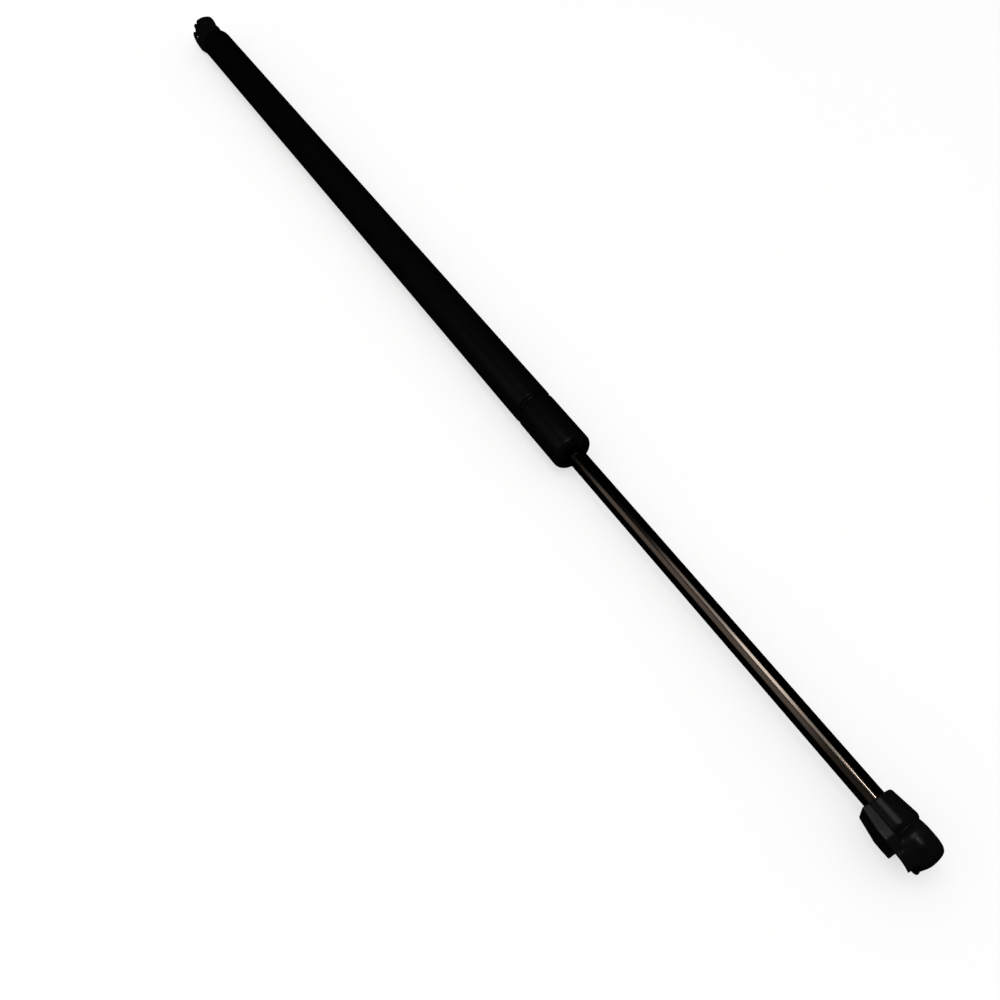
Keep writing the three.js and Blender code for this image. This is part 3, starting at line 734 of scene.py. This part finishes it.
def moulded_nylon():
    """Black nylon with glass fibre: spark-eroded mould grain, flow marks, and the parting line's flash."""
    material, tree = new_material("glass_filled_nylon")
    flow = speckle(tree, 5, detail=4.0)
    shades = {0: flow, 6: linear("#050506"), 7: linear("#0b0b0c")}
    colour = add(tree, "ShaderNodeMix", shades, data_type="RGBA").outputs[2]
    sheen = speckle(tree, 2.5, detail=3.0)
    gloss = add(tree, "ShaderNodeMapRange", {"Value": sheen, "From Min": 0.3, "From Max": 0.7,
                                             "To Min": 0.2, "To Max": 0.27}).outputs[0]
    # The real grain is about 0.05 mm; 0.16 mm is as fine as it can show.
    grain = speckle(tree, 0.16)
    spot = add(tree, "ShaderNodeTexCoord").outputs["Object"]
    off_line = add(tree, "ShaderNodeMath", {0: add(tree, "ShaderNodeSeparateXYZ", {0: spot}).outputs["Z"]},
                   operation="ABSOLUTE").outputs[0]
    flash = add(tree, "ShaderNodeMapRange", {"Value": off_line, "From Min": 0.03 * MM, "From Max": 0.09 * MM,
                                             "To Min": 2.0, "To Max": 0.0}).outputs[0]
    height = add(tree, "ShaderNodeMath", {0: grain, 1: flash}, operation="ADD").outputs[0]
    bump = add(tree, "ShaderNodeBump", {"Height": height, "Strength": 0.35, "Distance": 0.02 * MM}).outputs[0]
    surface = add(tree, "ShaderNodeBsdfPrincipled", {
        "Base Color": colour, "Roughness": gloss, "Normal": bump, "Specular IOR Level": 0.12,
    })
    add(tree, "ShaderNodeOutputMaterial", {"Surface": surface.outputs[0]})
    return material


head_radius = 7.95
head_back = 5.95
head_shoulder = 5.8
head_squareness = 0.12
head_mouth = 7.8
lip_radius = 6.6
lip_end = -5.6
lip_front = 5.0
neck_rear = 16.5
neck_front = 6.4
neck_rear_radius = 6.4
neck_front_radius = 7.6
sole_half_width = 7.4
sole_rear_half_width = 6.7
sole_rear_depth = 6.4
sole_level = 8.0
sole_top = 3.5
ball_radius = 5.0
socket_thread = 9.3
clip_wire = 0.75
clip_half_span = 3.4
clip_level = -4.7
clip_bow = -6.6
clip_tip = 3.4


def block(name, low, high):
    """A plain cutter between two corners, in millimetres."""
    middle = (Vector(low) + Vector(high)) / 2 * MM
    size = (Vector(high) - Vector(low)) * MM
    shape = bmesh.new()
    bmesh.ops.create_cube(shape, size=1, matrix=Matrix.LocRotScale(middle, None, size))
    mesh = bpy.data.meshes.new(name)
    shape.to_mesh(mesh)
    shape.free()
    return mesh


def flowing(points, steps=4):
    """Extra points on a smooth curve through the given ones."""
    ends = [points[0], *points, points[-1]]
    line = []
    for before, start, end, after in zip(ends, ends[1:], ends[2:], ends[3:]):
        for step in range(steps):
            t = step / steps
            spot = []
            for a, b, c, d in zip(before, start, end, after):
                bend = 2 * a - 5 * b + 4 * c - d
                twist = 3 * b - 3 * c + d - a
                spot.append(0.5 * (2 * b + (c - a) * t + bend * t ** 2 + twist * t ** 3))
            line.append(tuple(spot))
    return [*line, points[-1]]


def stood_up(mesh):
    """Turns a mesh made about the X axis so that its axis is Y."""
    mesh.transform(Matrix.Rotation(math.pi / 2, 4, "Z"))
    return mesh


def softened(name, mesh, voxel, rounds, keep=1.0):
    """Rounds every edge a little, as a mould tool has them: an even skin, smoothed, then thinned."""
    body = bpy.data.objects.new(name, mesh)
    bpy.context.scene.collection.objects.link(body)
    skin = body.modifiers.new("skin", "REMESH")
    skin.mode = "VOXEL"
    skin.voxel_size = voxel * MM
    ease = body.modifiers.new("ease", "SMOOTH")
    ease.factor = 0.5
    ease.iterations = rounds
    if keep < 1:
        thin = body.modifiers.new("thin", "DECIMATE")
        thin.ratio = keep
    bpy.context.view_layer.update()
    result = bpy.data.meshes.new_from_object(body.evaluated_get(bpy.context.evaluated_depsgraph_get()))
    bpy.data.objects.remove(body)
    return result


def socket_head(finish):
    """The barrel-shaped head, the corners of its outer half filled out."""
    head = stood_up(turned("socket_head", [
        (-head_shoulder, 0),
        *flowing([
            (-head_shoulder, head_radius - 1.95),
            (-4.2, head_radius - 1.1),
            (-2.2, head_radius - 0.45),
            (0, head_radius),
            (2.2, head_radius - 0.05),
            (4.5, head_radius - 0.45),
            (5.6, head_radius - 1.2),
            (head_back, head_radius - 2.2),
        ]),
        (head_back, 0),
    ], finish, 128))
    for vertex in head.vertices:
        if vertex.co.x < 0:
            corner = math.sin(2 * math.atan2(vertex.co.z, vertex.co.x)) ** 2
            vertex.co.x *= 1 + head_squareness * corner
            vertex.co.z *= 1 + head_squareness * corner
    return head


def socket_sole():
    """The flat plate: a lip round the mouth that runs on under the neck and grows shallower to the rear."""
    limit = math.degrees(math.acos(lip_end / lip_radius))
    side = arc(0, 0, lip_radius, limit, 90, 16)
    side += [
        (lip_front, sole_half_width),
        (sole_level, sole_half_width),
        (neck_rear, sole_rear_half_width),
    ]
    rim = side + [(x, -z) for x, z in reversed(side)]
    shape = bmesh.new()
    lid = [shape.verts.new((x * MM, -sole_top * MM, z * MM)) for x, z in rim]
    base = []
    for x, z in rim:
        share = max(0, (x - sole_level) / (neck_rear - sole_level))
        depth = head_mouth + share * (sole_rear_depth - head_mouth)
        base.append(shape.verts.new((x * MM, -depth * MM, z * MM)))
    shape.faces.new(lid)
    rear = len(side) - 1
    shape.faces.new(base[:rear] + base[rear + 2:])
    shape.faces.new(base[rear - 1:rear + 3])
    for i in range(len(rim)):
        shape.faces.new((lid[i - 1], lid[i], base[i], base[i - 1]))
    bmesh.ops.recalc_face_normals(shape, faces=shape.faces)
    mesh = bpy.data.meshes.new("socket_sole")
    shape.to_mesh(mesh)
    shape.free()
    return mesh


def socket_blank(finish):
    """Head, neck boss and sole, joined."""
    round_off = 2.4
    rear_round = 0.5
    neck = turned("socket_neck", [
        (neck_front - round_off - 1, 0),
        (neck_front - round_off - 1, neck_front_radius - round_off),
        *arc(neck_front, neck_front_radius - round_off, round_off, 170, 90, 8),
        *arc(neck_rear - rear_round, neck_rear_radius - rear_round, rear_round, 90, 0, 4),
        (neck_rear, 0),
    ], finish, 128)
    return carved("socket_blank", socket_head(finish), [neck, socket_sole()], "UNION", finish)


def ball_seat(finish):
    """The space for the ball: a half sphere, a straight throat and a flared mouth."""
    seat = ball_radius + 0.05
    throat = seat + 0.05
    flare = 5.7
    flare_depth = 1.6
    return stood_up(turned("ball_seat", [
        (-head_mouth - overrun, 0),
        (-head_mouth - overrun, flare),
        (-head_mouth, flare),
        (flare_depth - head_mouth, throat),
        (0, throat),
        *arc(0, 0, seat, 90, 0, 16),
    ], finish))


def socket_cuts(finish):
    """Everything cut from the blank: seat, threaded hole, the clip's slots and slit, and the notch.

    The cutters stop at slightly different places, so that no two of their faces lie in one plane.
    """
    room = clip_wire + 0.2
    clear = 0.02
    radius = rod_radius + 0.1
    wide = radius + 0.5
    hole = turned("socket_hole", [
        (neck_rear - socket_thread, 0),
        (neck_rear - socket_thread, radius),
        (neck_rear - 0.4, radius),
        (neck_rear + 0.1, wide),
        (neck_rear + overrun, wide),
        (neck_rear + overrun, 0),
    ], finish)
    outside = -head_radius - 4
    top = clip_level + room
    low = clip_level - room
    cuts = [ball_seat(finish), hole]
    for z in (-clip_half_span, clip_half_span):
        cuts.append(block("clip_slot", (outside, low, z - room), (clip_tip + 0.4, top, z + room)))
    side = clip_half_span + room + clear
    cuts.append(block("clip_slit", (outside - 1, low - clear, -side), (clip_bow + room, top + clear, side)))
    notch_end = 1.5
    notch_side = -0.7
    notch_top = top + 2 * clear
    outer_corner = (notch_end, notch_top, head_radius + 4)
    cuts.append(block("lip_notch", (outside - 2, -head_mouth - 2, notch_side), outer_corner))
    return cuts


def ball_socket(finish):
    """The finished moulding, drawn about the ball's centre with its neck along +X."""
    blank = softened("socket_blank", socket_blank(finish), 0.22, 6)
    cut = carved("socket_cut", blank, socket_cuts(finish), "DIFFERENCE", finish)
    mesh = softened("socket", cut, 0.16, 4, 0.45)
    mesh.materials.clear()
    mesh.materials.append(finish)
    for face in mesh.polygons:
        face.use_smooth = True
    return mesh


nylon = moulded_nylon()
rod_mouth = frame["record"]["mounts"][2]["axis"]
rod_turn = math.atan2(-rod_mouth[2], -rod_mouth[1])
rod_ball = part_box("rod_socket")[0].x + neck_rear * MM
turned_over = Matrix.Rotation(rod_turn, 4, "X") @ Matrix.Rotation(math.pi, 4, "Y")
at_rod_end = Matrix.Translation((rod_ball, 0, 0)) @ turned_over
cylinder_socket_mesh = ball_socket(nylon)
rod_socket_mesh = cylinder_socket_mesh.copy()
rod_socket_mesh.transform(at_rod_end)
fit("moulded_cylinder_socket", cylinder_socket_mesh, "cylinder", "black_nylon", "cylinder_socket")
fit("moulded_rod_socket", rod_socket_mesh, "rod", "black_nylon", "rod_socket")

# ---------------------------------------------------------------------------------------------------------
# Retaining clips
# One piece of 1.5 mm spring wire in each socket, bent to a U. Its two legs cross the throat below the ball's
# middle, and its bow shows at the head's outer end.


def wire_tree():
    """A round wire swept along a line of points, with closed ends."""
    tree = new_tree("bent_wire", {
        "Path": "NodeSocketGeometry",
        "Wire Radius": "NodeSocketFloat",
        "Facets": "NodeSocketInt",
        "Finish": "NodeSocketMaterial",
    })
    given = add(tree, "NodeGroupInput").outputs
    line = add(tree, "GeometryNodeMeshToCurve", {0: given["Path"]}).outputs[0]
    section = {"Resolution": given["Facets"], "Radius": given["Wire Radius"]}
    circle = add(tree, "GeometryNodeCurvePrimitiveCircle", section).outputs[0]
    wire = add(tree, "GeometryNodeCurveToMesh", {"Curve": line, "Profile Curve": circle, "Fill Caps": True})
    real = add(tree, "GeometryNodeRealizeInstances", {0: wire.outputs[0]})
    coated = add(tree, "GeometryNodeSetMaterial", {"Geometry": real.outputs[0], "Material": given["Finish"]})
    add(tree, "NodeGroupOutput", {0: coated.outputs[0]})
    return tree


def clip_path():
    """The wire's centre line as a chain of points: leg, bend, bow, bend, leg."""
    corner = 1.6
    start = arc(clip_bow + corner, clip_half_span - corner, corner, 90, 180, 12)
    side = [(clip_tip, clip_half_span), *start]
    chain = side + [(x, -z) for x, z in reversed(side)]
    mesh = bpy.data.meshes.new("clip_path")
    points = [(x * MM, clip_level * MM, z * MM) for x, z in chain]
    mesh.from_pydata(points, [(i, i + 1) for i in range(len(points) - 1)], [])
    return mesh


wire = wire_tree()
wire_values = {"Wire Radius": clip_wire * MM, "Facets": 24, "Finish": spring}
cylinder_clip_mesh = close_up(made_by(wire, "clip", clip_path(), wire_values), 50)
rod_clip_mesh = cylinder_clip_mesh.copy()
rod_clip_mesh.transform(at_rod_end)
fit("bent_cylinder_clip", cylinder_clip_mesh, "cylinder_clip", "spring_steel", "cylinder_socket_clip")
fit("bent_rod_clip", rod_clip_mesh, "rod_clip", "spring_steel", "rod_socket_clip")

# ---------------------------------------------------------------------------------------------------------
# Stage
# A pale light table under the strut, even soft light from all round, two softboxes and a strip overhead, and
# two dim ones at the mouths' side, whose reflections run along the rod and the tube.


def stage_floor(level):
    """A pale opal floor that glows faintly, so that shadows stay soft; it is wide enough to fill any view."""
    half_side = 12
    middle = 0.3
    shape = bmesh.new()
    bmesh.ops.create_grid(shape, x_segments=1, y_segments=1, size=half_side)
    bmesh.ops.translate(shape, verts=shape.verts, vec=(middle, 0, level))
    mesh = bpy.data.meshes.new("floor")
    shape.to_mesh(mesh)
    shape.free()
    material, tree = new_material("pale_floor")
    shades = {0: speckle(tree, 60, detail=3.0), 6: linear("#9a9a9a"), 7: linear("#9c9c9c")}
    colour = add(tree, "ShaderNodeMix", shades, data_type="RGBA").outputs[2]
    surface = add(tree, "ShaderNodeBsdfPrincipled", {
        "Base Color": colour, "Roughness": 0.9, "Specular IOR Level": 0.0,
        "Emission Color": linear("#ffffff"), "Emission Strength": 0.61,
    })
    add(tree, "ShaderNodeOutputMaterial", {"Surface": surface.outputs[0]})
    mesh.materials.append(material)
    floor = bpy.data.objects.new("floor", mesh)
    bpy.context.scene.collection.objects.link(floor)
    floor.visible_glossy = False


def softbox(name, centre, width, length, glow, colour):
    """A rectangular light facing the rod, its length along the strut; glow is how bright its face looks."""
    lamp = bpy.data.lights.new(name, "AREA")
    lamp.shape = "RECTANGLE"
    lamp.size = length
    lamp.size_y = width
    lamp.energy = glow * math.pi * width * length
    lamp.color = linear(colour)[:3]
    box = bpy.data.objects.new(name, lamp)
    away = Vector((0, centre[1], centre[2])).normalized()
    side = Vector((1, 0, 0))
    up = away.cross(side)
    box.matrix_world = Matrix.Translation(centre) @ Matrix((side, up, away)).transposed().to_4x4()
    bpy.context.scene.collection.objects.link(box)


warm_white = "#fffaf4"
lamp_white = "#fff4ea"
stage_floor(cad_box[0][2])
softbox("overhead_bright", (0.2, -0.19, 1.0), 0.52, 0.15, 3.2, warm_white)
softbox("overhead_long", (0.16, -0.19, 1.05), 0.52, 0.5, 0.9, warm_white)
softbox("overhead_strip", (0.51, -0.13, 1.0), 0.05, 0.2, 24.0, warm_white)
softbox("side_bright", (-0.08, -1.0, 0.65), 1.0, 0.75, 0.35, lamp_white)
softbox("side_dim", (0.2, -1.05, 0.6), 1.1, 1.3, 0.07, lamp_white)

room = bpy.data.worlds.new("room")
room.use_nodes = True
sky = room.node_tree.nodes["Background"].inputs
sky["Color"].default_value = linear("#ffffff")
sky["Strength"].default_value = 1.0
room.cycles_visibility.glossy = False
bpy.context.scene.world = room
bpy.context.scene.view_settings.view_transform = "Standard"

camera_data = bpy.data.cameras.new("camera")
camera_data.lens = 36
camera_data.sensor_width = 36
camera = bpy.data.objects.new("camera", camera_data)
viewpoint = Vector((0.6512, -0.1707, 0.3138))
looking_at = Vector((0.4338, -0.0394, 0))
camera.location = viewpoint
camera.rotation_euler = (looking_at - viewpoint).to_track_quat("-Z", "Y").to_euler()
bpy.context.scene.collection.objects.link(camera)
bpy.context.scene.camera = camera
